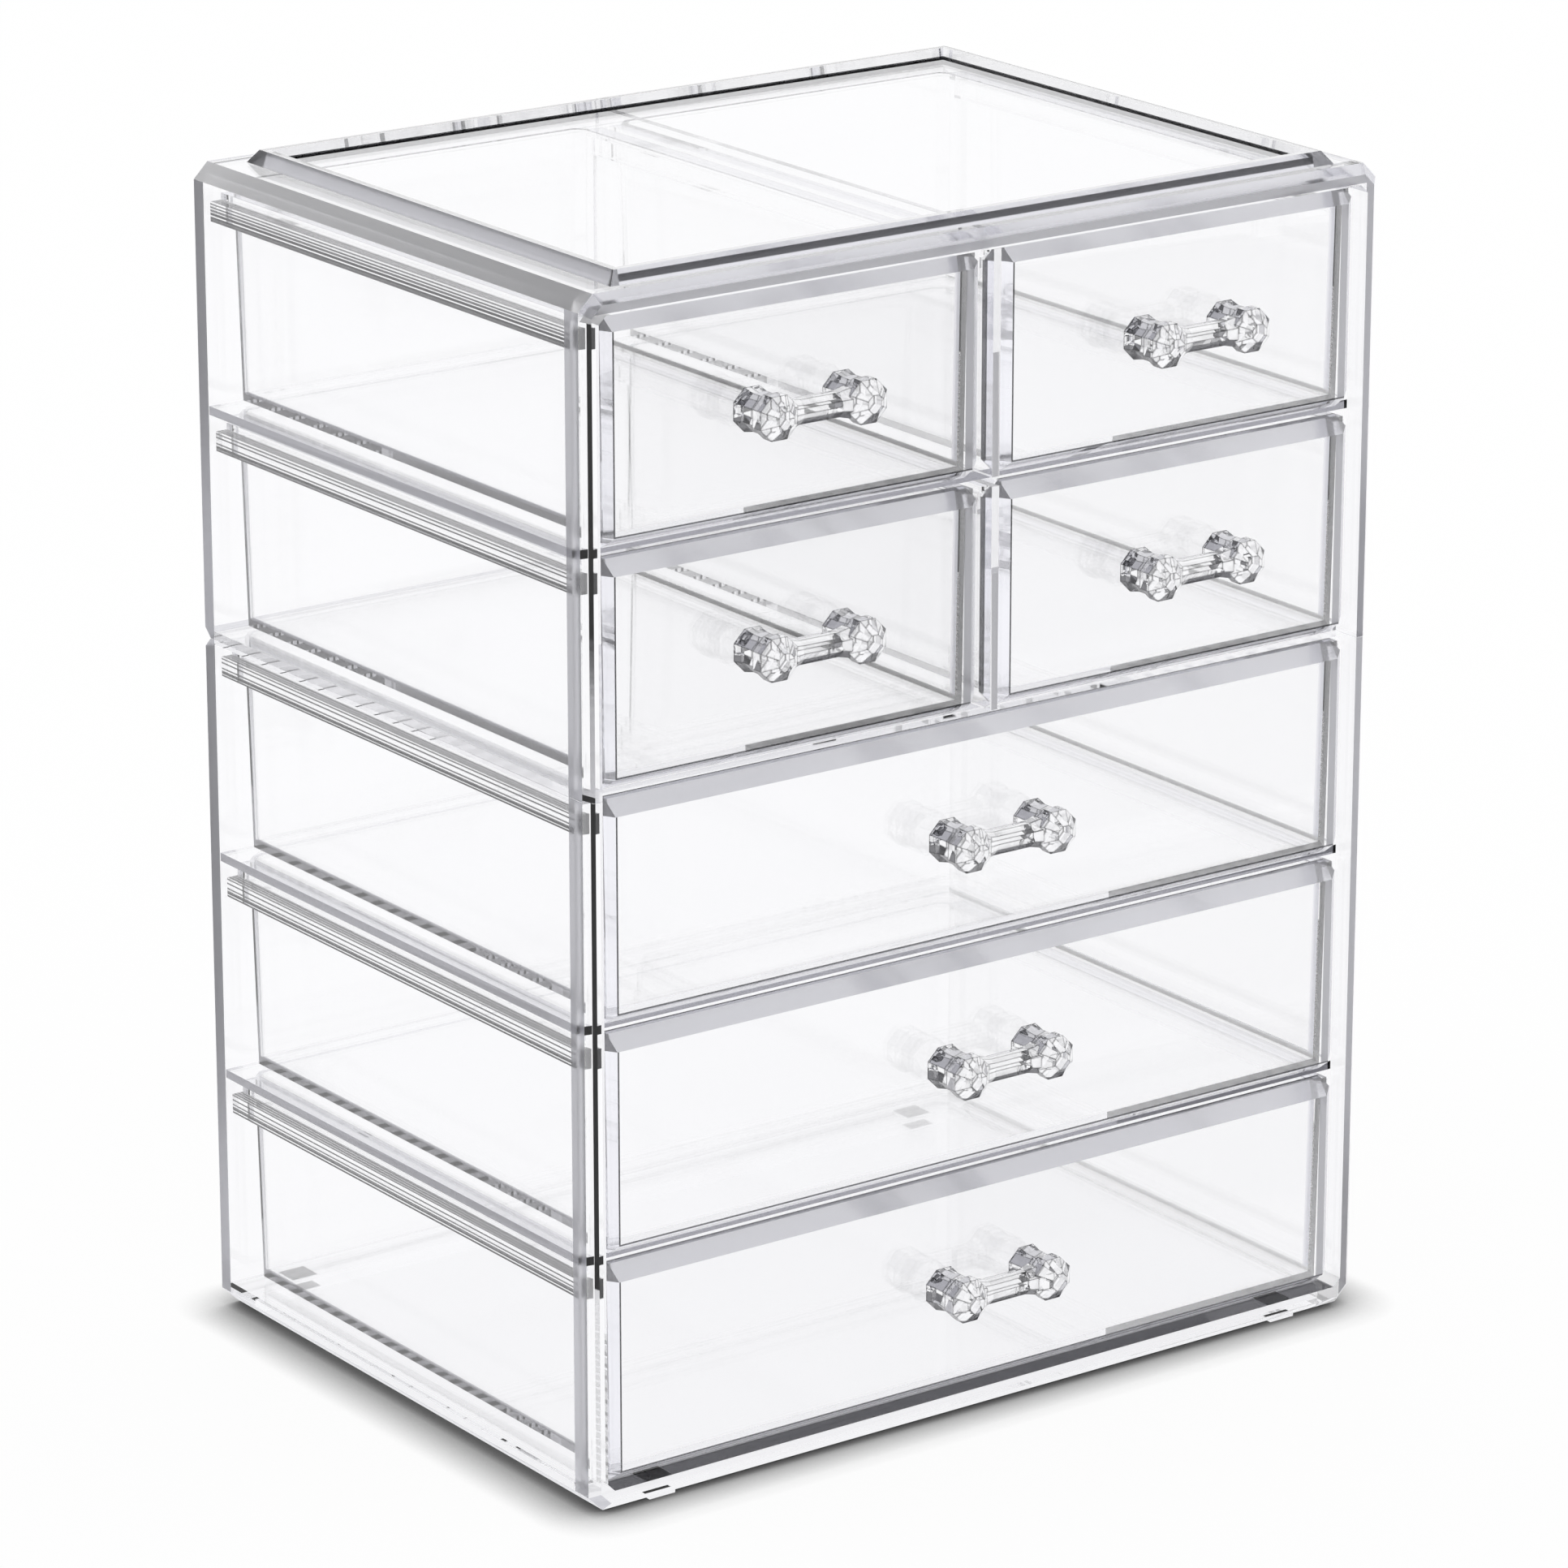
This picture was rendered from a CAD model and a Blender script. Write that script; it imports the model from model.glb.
"""A clear acrylic organiser with seven drawers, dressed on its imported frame."""
import math

import bpy
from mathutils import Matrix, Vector


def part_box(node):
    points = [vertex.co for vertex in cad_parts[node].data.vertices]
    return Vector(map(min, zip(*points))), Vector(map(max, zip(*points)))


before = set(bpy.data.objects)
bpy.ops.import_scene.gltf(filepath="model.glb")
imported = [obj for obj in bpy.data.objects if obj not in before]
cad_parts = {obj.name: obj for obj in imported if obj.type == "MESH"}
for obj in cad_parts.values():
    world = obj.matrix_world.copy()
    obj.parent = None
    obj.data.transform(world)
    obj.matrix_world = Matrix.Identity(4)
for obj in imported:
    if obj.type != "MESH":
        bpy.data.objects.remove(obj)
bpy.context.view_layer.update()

MM = 0.001

# Camera: the photograph's viewing angle, from a long lens
PHOTO_AZIMUTH = math.radians(-35.8)
PHOTO_ELEVATION = math.radians(17.8)
CAMERA_DISTANCE = 1790.7 * MM
CAMERA_TARGET = Vector((-1.1, 6.25, 140.6)) * MM
LENS_MM = 163.8
SENSOR_MM = 36.0
CLIP = (0.05, 20.0)

# Clear plastic. Its haze is a roughness between two values, as a noise goes from one limit to the other
PLASTIC_IOR = 1.49
ABSORPTION_TINT = (0.60, 0.60, 0.66, 1.0)
ABSORPTION_PER_METRE = 0.8
CLEAR_HAZE = (0.0, 0.015)
PAD_HAZE = (0.25, 0.4)
HAZE_LIMITS = (0.35, 0.75)
HAZE_SCALE = 14.0
WAVE_SCALE = 9.0
WAVE_STRENGTH = 0.02
WAVE_HEIGHT = 0.5 * MM
BLUE_SHARE = 1.08

# Light bounces that a view through many clear layers needs
CLEAR_BOUNCES = 56

# How clear an edge is (1 is quite clear, 0 is black), and how hazy.
# A bevel without haze would hold the light inside and look black
EDGE_LOOKS = {
    "frame side": (0.55, 0.5),
    "case back end": (0.6, 0.5),
    "frame border": (0.25, 0.35),
    "case top bevel": (0.62, 0.25),
    "case top corner": (1.0, 0.8),
    "case low corner": (0.5, None),
    "sill": (0.08, None),
    "rim side slope": (0.6, 0.4),
    "rim end slope": (0.7, 0.2),
    "rim foot": (0.01, None),
    "rail stripe": (0.01, None),
    "rail end": (0.02, None),
    "shelf side": (0.35, None),
    "shelf front": (0.4, None),
    "tray low edge": (0.22, None),
    "tray back end": (0.4, 0.1),
    "tray brim": (0.7, None),
    "tray front end": (0.9, 0.4),
    "tray right foot": (1.0, 0.9),
    "front up": (0.5, 0.25),
    "front down": (0.55, None),
    "front left": (0.88, None),
    "front right": (0.7, 0.25),
    "front upper corner": (0.1, None),
    "front outline": (0.02, None),
    "front right band": (0.25, 0.3),
    "front left edge": (0.03, None),
    "front left line": (0.02, None),
    "front low line": (0.04, None),
    "facet below": (0.04, None),
    "facet right": (0.02, None),
    "facet left": (0.4, None),
    "facet line": (0.01, None),
}

# Shares of a face's normal along an axis: it faces that way over SQUARE or FLAT, slants that way over SLOPE,
# and is upright or runs along the case under TURNED_AWAY. The last two pick the handles' facets
SQUARE = 0.9
FLAT = 0.95
SLOPE = 0.3
TURNED_AWAY = 0.2
FACET_SIDE_TURN = 0.5
FACET_TOP_TURN = 0.1

# Outer faces of the case, from its own box, and how wide its grey edges are
case_low, case_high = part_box("upper_case")
CASE_HALF = case_high[0]
CASE_FRONT = case_low[1]
CASE_BACK = case_high[1]
CASE_TOP = case_high[2]
SKIN = 0.3 * MM
FACE_DEPTH = 0.5 * MM
FRAME_SIDE_DEPTH = 7.8 * MM
BACK_END_DEPTH = 4.2 * MM
TOP_BORDER = 4.5 * MM
RIGHT_BORDER = 4.6 * MM
SILL_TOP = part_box("lower_case")[0][2] + 5.2 * MM
SILL_DEPTH = 9.0 * MM
RIM_FOOT = 1.1 * MM

# Rows from the bottom, and rail lines as (low, high, clearness) in millimetres above a rail's underside
TOP_ROW = 4
ROW_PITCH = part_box("front_2")[0][2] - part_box("front_1")[0][2]
RAIL_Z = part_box("lower_rails")[0][2]
TOP_RAIL_LINES = ((0.0, 0.45, 0.01), (0.8, 1.25, 0.01), (1.7, 2.3, 0.01), (3.4, 3.8, 0.02))
RAIL_LINES = ((0.0, 0.45, 0.01), (0.8, 1.2, 0.01), (3.3, 3.7, 0.01))
RAIL_STRIPE = 0.9 * MM

# Strips of a tray. Its wall stands this far inside its brim's edge, at the most
TRAY_WALL_INSET = 6.5 * MM
TRAY_BACK_END = 5.0 * MM
TRAY_LOW_EDGE = 2.4 * MM
TRAY_FRONT_END = 3.5 * MM
BRIM_DEPTH = 0.5 * MM
LEFT_OF_DIVIDER = -20.0 * MM

# Slants of a drawer front, and the lines beside them
SIDE_SLANT = 4.3 * MM
LOW_SLANT = 3.0 * MM
LEFT_LINE = 0.45 * MM
LOW_LINE = 0.4 * MM
RIGHT_BAND = 2.2 * MM
LEFT_EDGE = 0.6 * MM

# Thin lines along the edges of a handle's facets, where a rounded normal bends away from the face's own
FACET_LINE_REACH = 0.5 * MM
FACET_LINE_BEND = 0.97
FACET_LINE_SAMPLES = 4

# Floor, and world. Its grey band lies between heights of the view direction, and stops at two light cards
WHITE = (1.0, 1.0, 1.0, 1.0)
BLACK = (0.0, 0.0, 0.0, 1.0)
FLOOR_THROUGH_PLASTIC = (0.985, 0.985, 1.0, 1.0)
FLOOR_UNDER_CASE = (0.93, 0.93, 0.95, 1.0)
FLOOR_PAINT = (0.97, 0.97, 0.97, 1.0)
FLOOR_PAINT_SHARE = 0.06
CONTACT_SHADOW_WIDTH = 14 * MM
CONTACT_SHADOW_POWER = 1.6
UNDER_CASE_WIDTH = 30 * MM
OCCLUSION_SAMPLES = 8
FLOOR_SIZE = 6.0
CARD_GREY = (0.97, 0.97, 0.99, 1.0)
BAND_GREY = (0.3, 0.3, 0.32, 1.0)
BAND_FOOT = (0.12, 0.16)
BAND_TOP = (0.45, 0.6)
CARD_EDGE = (0.2, 0.45)
CARD_WAY = (0.585, 0.811)


class Tree:
    """A short way to write shader nodes."""

    def __init__(self, owner):
        owner.use_nodes = True
        self.tree = owner.node_tree
        self.tree.nodes.clear()

    def node(self, kind, settings=None, **inputs):
        node = self.tree.nodes.new(kind)
        for name, value in (settings or {}).items():
            setattr(node, name, value)
        for name, value in inputs.items():
            self.feed(node, name.replace("_", " "), value)
        return node

    def feed(self, node, socket, value):
        if isinstance(value, bpy.types.NodeSocket):
            self.tree.links.new(value, node.inputs[socket])
        else:
            node.inputs[socket].default_value = value

    def maths(self, operation, *values, clamp=False):
        node = self.node("ShaderNodeMath", {"operation": operation, "use_clamp": clamp})
        for index, value in enumerate(values):
            self.feed(node, index, value)
        return node.outputs[0]

    def ramp(self, value, low, high, start=0.0, end=1.0):
        node = self.node("ShaderNodeMapRange", {"interpolation_type": "SMOOTHSTEP"})
        limits = {"Value": value, "From Min": low, "From Max": high, "To Min": start, "To Max": end}
        for name, number in limits.items():
            self.feed(node, name, number)
        return node.outputs["Result"]

    def blend(self, amount, first, second):
        node = self.node("ShaderNodeMix", {"data_type": "RGBA"})
        self.feed(node, 0, amount)
        self.feed(node, 6, first)
        self.feed(node, 7, second)
        return node.outputs[2]


def scene_setup():
    scene = bpy.context.scene
    scene.view_settings.view_transform = "Standard"
    scene.cycles.max_bounces = CLEAR_BOUNCES
    scene.cycles.transmission_bounces = CLEAR_BOUNCES
    scene.cycles.glossy_bounces = CLEAR_BOUNCES
    scene.cycles.transparent_max_bounces = CLEAR_BOUNCES
    scene.cycles.caustics_reflective = True
    scene.cycles.caustics_refractive = True


def add_camera():
    direction = Vector((
        math.sin(PHOTO_AZIMUTH) * math.cos(PHOTO_ELEVATION),
        -math.cos(PHOTO_AZIMUTH) * math.cos(PHOTO_ELEVATION),
        math.sin(PHOTO_ELEVATION),
    ))
    data = bpy.data.cameras.new("camera")
    data.lens = LENS_MM
    data.sensor_width = SENSOR_MM
    data.clip_start, data.clip_end = CLIP
    camera = bpy.data.objects.new("camera", data)
    camera.location = CAMERA_TARGET + direction * CAMERA_DISTANCE
    camera.rotation_euler = (-direction).to_track_quat("-Z", "Y").to_euler()
    bpy.context.scene.collection.objects.link(camera)
    bpy.context.scene.camera = camera


class Faces(Tree):
    """A material's tree that can pick faces by their direction and place, in the object's own space."""

    def __init__(self, owner):
        super().__init__(owner)
        self.place = self.node("ShaderNodeTexCoord").outputs["Object"]
        place = self.node("ShaderNodeSeparateXYZ", Vector=self.place)
        self.true_normal = self.node("ShaderNodeNewGeometry").outputs["True Normal"]
        faces = self.node("ShaderNodeSeparateXYZ", Vector=self.true_normal)
        self.at = {axis: place.outputs[index] for index, axis in enumerate("xyz")}
        self.facing = {axis: faces.outputs[index] for index, axis in enumerate("xyz")}
        for axis in "xyz":
            self.at["side " + axis] = self.maths("ABSOLUTE", self.at[axis])
            self.facing["side " + axis] = self.maths("ABSOLUTE", self.facing[axis])

    def every(self, *conditions):
        """1 where each (value, low, high) holds."""
        found = None
        for value, low, high in conditions:
            for operation, limit in (("GREATER_THAN", low), ("LESS_THAN", high)):
                if limit is not None:
                    test = self.maths(operation, value, limit)
                    found = test if found is None else self.maths("MULTIPLY", found, test)
        return found

    def either(self, *masks):
        found = masks[0]
        for mask in masks[1:]:
            found = self.maths("MAXIMUM", found, mask)
        return found


def clear_plastic(name, edges=None, haze=CLEAR_HAZE):
    """Clear plastic with faint waves and haze. edges(faces) lists (mask, clearness, haze) of its edges."""
    material = bpy.data.materials.new(name)
    faces = Faces(material)
    cloud = faces.node("ShaderNodeTexNoise", Vector=faces.place, Scale=HAZE_SCALE, Detail=2.0)
    ripple = faces.node("ShaderNodeTexNoise", Vector=faces.place, Scale=WAVE_SCALE, Detail=1.0)
    bump = faces.node("ShaderNodeBump", Strength=WAVE_STRENGTH, Distance=WAVE_HEIGHT,
                      Height=ripple.outputs["Fac"])
    tint, rough = WHITE, faces.ramp(cloud.outputs["Fac"], *HAZE_LIMITS, *haze)
    for mask, grey, edge_haze in (edges(faces) if edges else []):
        tint = faces.blend(mask, tint, (grey, grey, grey * BLUE_SHARE, 1.0))
        if edge_haze:
            rough = faces.maths("MAXIMUM", rough, faces.maths("MULTIPLY", mask, edge_haze))
    shader = faces.node("ShaderNodeBsdfPrincipled", IOR=PLASTIC_IOR, Transmission_Weight=1.0, Base_Color=tint,
                        Specular_Tint=tint, Roughness=rough, Normal=bump.outputs["Normal"])
    inside = faces.node("ShaderNodeVolumeAbsorption", Color=ABSORPTION_TINT, Density=ABSORPTION_PER_METRE)
    faces.node("ShaderNodeOutputMaterial", Surface=shader.outputs["BSDF"], Volume=inside.outputs["Volume"])
    return material


def look(mask, name):
    """A mask with the clearness and haze of its edge."""
    return mask, *EDGE_LOOKS[name]


def case_edges(faces):
    """The frame's outer edges, the bevels and the ends of the left wall."""
    at, facing = faces.at, faces.facing
    outside = (facing["x"], None, -SQUARE), (at["x"], None, SKIN - CASE_HALF)
    front = (facing["y"], None, -SQUARE), (at["y"], None, CASE_FRONT + FACE_DEPTH)
    upward, sideways = (facing["z"], SLOPE, SQUARE), (facing["side x"], SLOPE, SQUARE)
    border = faces.either(faces.every(*front, (at["z"], CASE_TOP - TOP_BORDER, None)),
                          faces.every(*front, (at["x"], CASE_HALF - RIGHT_BORDER, None)))
    sill = faces.every((facing["z"], SQUARE, None), (at["z"], None, SILL_TOP + FACE_DEPTH),
                       (at["y"], None, CASE_FRONT + SILL_DEPTH))
    return [look(faces.every(*outside, (at["y"], None, CASE_FRONT + FRAME_SIDE_DEPTH)), "frame side"),
            look(faces.every(*outside, (at["y"], CASE_BACK - BACK_END_DEPTH, None)), "case back end"),
            look(border, "frame border"),
            look(faces.every((facing["y"], -SQUARE, -SLOPE), upward), "case top bevel"),
            look(faces.every(sideways, upward, (facing["side y"], None, TURNED_AWAY)), "case top corner"),
            look(faces.every(sideways, (facing["z"], -SQUARE, -SLOPE)), "case low corner"),
            look(sill, "sill")]


def rim_edges(faces):
    """Grey slopes, and a nearly black line along the foot of the upright inner side."""
    at, facing = faces.at, faces.facing
    upward = facing["z"], SLOPE, FLAT
    foot = faces.every((facing["z"], None, TURNED_AWAY), (at["z"], CASE_TOP, CASE_TOP + RIM_FOOT))
    return [look(faces.every((facing["side x"], SLOPE, FLAT), upward), "rim side slope"),
            look(faces.every((facing["side y"], SLOPE, FLAT), upward), "rim end slope"),
            look(foot, "rim foot")]


def rail_edges(faces):
    """The left rails look nearly black along thin lines near their undersides, and at their ends."""
    at, facing = faces.at, faces.facing
    left = at["x"], None, 0.0
    stripe = faces.maths("SINE", faces.maths("MULTIPLY", at["x"], 2.0 * math.pi / RAIL_STRIPE))
    found = [look(faces.every(left, (facing["side z"], SQUARE, None), (stripe, 0.0, None)), "rail stripe"),
             look(faces.every(left, (facing["side y"], SQUARE, None)), "rail end")]
    for row in range(TOP_ROW + 1):
        z = RAIL_Z + row * ROW_PITCH
        for low, high, grey in (TOP_RAIL_LINES if row == TOP_ROW else RAIL_LINES):
            height = at["z"], z + low * MM, z + high * MM
            found.append((faces.every(left, (facing["side x"], SQUARE, None), height), grey, None))
    return found


def shelf_edges(faces):
    return [look(faces.every((faces.facing["side x"], SQUARE, None)), "shelf side"),
            look(faces.every((faces.facing["y"], None, -SQUARE)), "shelf front")]


def tray_edges(name):
    """The brim, a right wall's hazy front end and foot, and strips on a left wall at the case's side."""
    low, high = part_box(name)
    at_case_side = low[0] < LEFT_OF_DIVIDER

    def edges(faces):
        at, facing = faces.at, faces.facing
        side_wall = facing["side x"], SQUARE, None
        left_wall = side_wall, (at["x"], None, low[0] + TRAY_WALL_INSET)
        right_wall = side_wall, (at["x"], high[0] - TRAY_WALL_INSET, None)
        low_edge = faces.every(*left_wall, (at["z"], None, low[2] + TRAY_LOW_EDGE))
        back_end = faces.every(*left_wall, (at["y"], high[1] - TRAY_BACK_END, None))
        brim = faces.every((facing["z"], SQUARE, None), (at["z"], high[2] - BRIM_DEPTH, None))
        front_end = faces.every(*right_wall, (at["y"], None, low[1] + TRAY_FRONT_END))
        right_foot = faces.every(*right_wall, (at["z"], None, low[2] + TRAY_LOW_EDGE))
        found = [look(low_edge, "tray low edge"), look(back_end, "tray back end")] if at_case_side else []
        found += [look(brim, "tray brim"), look(front_end, "tray front end")]
        return found + [look(right_foot, "tray right foot")]
    return edges


def front_edges(name):
    """Bevels and outline of a drawer front, and the lines that its flat face shows along three sides."""
    low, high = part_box(name)

    def edges(faces):
        at, facing = faces.at, faces.facing
        slant = facing["y"], -FLAT, -SLOPE
        flat = (facing["y"], None, -FLAT), (at["y"], None, low[1] + FACE_DEPTH)
        upward, leftward = (facing["z"], SLOPE, None), (facing["x"], None, -SLOPE)
        outline = faces.either(faces.every((facing["side x"], FLAT, None)),
                               faces.every((facing["side z"], FLAT, None)))
        return [
            look(faces.every(slant, upward), "front up"),
            look(faces.every(slant, (facing["z"], None, -SLOPE)), "front down"),
            look(faces.every(slant, leftward), "front left"),
            look(faces.every(slant, (facing["x"], SLOPE, None)), "front right"),
            look(faces.every(slant, (facing["side x"], SLOPE, None), upward), "front upper corner"),
            look(outline, "front outline"),
            look(faces.every(*flat, (at["x"], high[0] - SIDE_SLANT - RIGHT_BAND, None)), "front right band"),
            look(faces.every(slant, leftward, (at["x"], None, low[0] + LEFT_EDGE)), "front left edge"),
            look(faces.every(*flat, (at["x"], None, low[0] + SIDE_SLANT + LEFT_LINE)), "front left line"),
            look(faces.every(*flat, (at["z"], None, low[2] + LOW_SLANT + LOW_LINE)), "front low line"),
        ]
    return edges


def handle_edges(faces):
    """Cut facets: some are nearly black, some grey, and a thin dark line follows the edges between them."""
    facing = faces.facing
    bend = faces.node("ShaderNodeVectorMath", {"operation": "DOT_PRODUCT"})
    bevel = faces.node("ShaderNodeBevel", {"samples": FACET_LINE_SAMPLES}, Radius=FACET_LINE_REACH)
    faces.feed(bend, 0, bevel.outputs["Normal"])
    faces.feed(bend, 1, faces.true_normal)
    upward = facing["z"], FACET_TOP_TURN, None
    return [look(faces.every((facing["z"], None, -FACET_SIDE_TURN)), "facet below"),
            look(faces.every((facing["x"], FACET_SIDE_TURN, None), upward), "facet right"),
            look(faces.every((facing["x"], None, -FACET_SIDE_TURN), upward), "facet left"),
            look(faces.maths("LESS_THAN", bend.outputs["Value"], FACET_LINE_BEND), "facet line")]


def dress(material, names):
    for name in names:
        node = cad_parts[name]
        node.data.materials.clear()
        node.data.materials.append(material)


def dress_everything():
    names = list(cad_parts)
    dress(clear_plastic("case_plastic", case_edges), ["lower_case", "upper_case"])
    dress(clear_plastic("rim_plastic", rim_edges), ["stacking_rim"])
    dress(clear_plastic("rail_plastic", rail_edges), ["lower_rails", "upper_rails"])
    dress(clear_plastic("pad_plastic", haze=PAD_HAZE), ["foot_pads"])
    for start, edges in (("shelf", shelf_edges), ("divider", None), ("handle", handle_edges)):
        alike = [name for name in names if name.startswith(start + "_")]
        dress(clear_plastic(start + "_plastic", edges), alike)
    for start, edges_of in (("tray", tray_edges), ("front", front_edges)):
        for name in names:
            if name.startswith(start + "_"):
                dress(clear_plastic(name + "_plastic", edges_of(name)), [name])


def add_floor():
    """A white floor that keeps a shadow at the contact. What the plastic shows of it is a little greyer."""
    bpy.ops.mesh.primitive_plane_add(size=FLOOR_SIZE, location=(0.0, 0.0, 0.0))
    floor = bpy.context.object
    floor.name = "floor"
    material = bpy.data.materials.new("floor_white")
    tree = Tree(material)
    seen = tree.node("ShaderNodeLightPath").outputs["Is Camera Ray"]
    samples = {"samples": OCCLUSION_SAMPLES}
    beside = tree.node("ShaderNodeAmbientOcclusion", samples, Distance=CONTACT_SHADOW_WIDTH)
    beneath = tree.node("ShaderNodeAmbientOcclusion", samples, Distance=UNDER_CASE_WIDTH)
    through = tree.blend(beneath.outputs["AO"], FLOOR_UNDER_CASE, FLOOR_THROUGH_PLASTIC)
    shadow = tree.maths("POWER", beside.outputs["AO"], CONTACT_SHADOW_POWER)
    colour = tree.blend(seen, through, tree.blend(shadow, BLACK, WHITE))
    lit = tree.node("ShaderNodeEmission", Color=colour, Strength=1.0)
    shaded = tree.node("ShaderNodeBsdfDiffuse", Color=FLOOR_PAINT)
    mix = tree.node("ShaderNodeMixShader")
    for socket, value in enumerate((FLOOR_PAINT_SHARE, lit.outputs[0], shaded.outputs[0])):
        tree.feed(mix, socket, value)
    tree.node("ShaderNodeOutputMaterial", Surface=mix.outputs[0])
    floor.data.materials.append(material)


def light_the_room():
    """White all round. What the plastic lets through has a grey band with two light cards in it."""
    world = bpy.data.worlds.new("studio")
    bpy.context.scene.world = world
    tree = Tree(world)
    way = tree.node("ShaderNodeSeparateXYZ", Vector=tree.node("ShaderNodeTexCoord").outputs["Generated"])
    x, y, z = (way.outputs[axis] for axis in range(3))
    squares = [tree.maths("MULTIPLY", value, value) for value in (x, y)]
    level = tree.maths("SQRT", tree.maths("ADD", *squares))
    along = [tree.maths("MULTIPLY", value, share) for value, share in zip((x, y), CARD_WAY)]
    ahead = tree.maths("ABSOLUTE", tree.maths("DIVIDE", tree.maths("ADD", *along), level))
    band = tree.maths("MULTIPLY", tree.ramp(z, *BAND_FOOT), tree.ramp(z, *BAND_TOP, 1.0, 0.0))
    dark = tree.maths("MULTIPLY", band, tree.maths("SUBTRACT", 1.0, tree.ramp(ahead, *CARD_EDGE)))
    ray = tree.node("ShaderNodeLightPath")
    colour = tree.blend(ray.outputs["Is Transmission Ray"], WHITE, tree.blend(dark, CARD_GREY, BAND_GREY))
    background = tree.node("ShaderNodeBackground", Color=colour, Strength=1.0)
    tree.node("ShaderNodeOutputWorld", Surface=background.outputs[0])


scene_setup()
add_camera()
dress_everything()
add_floor()
light_the_room()
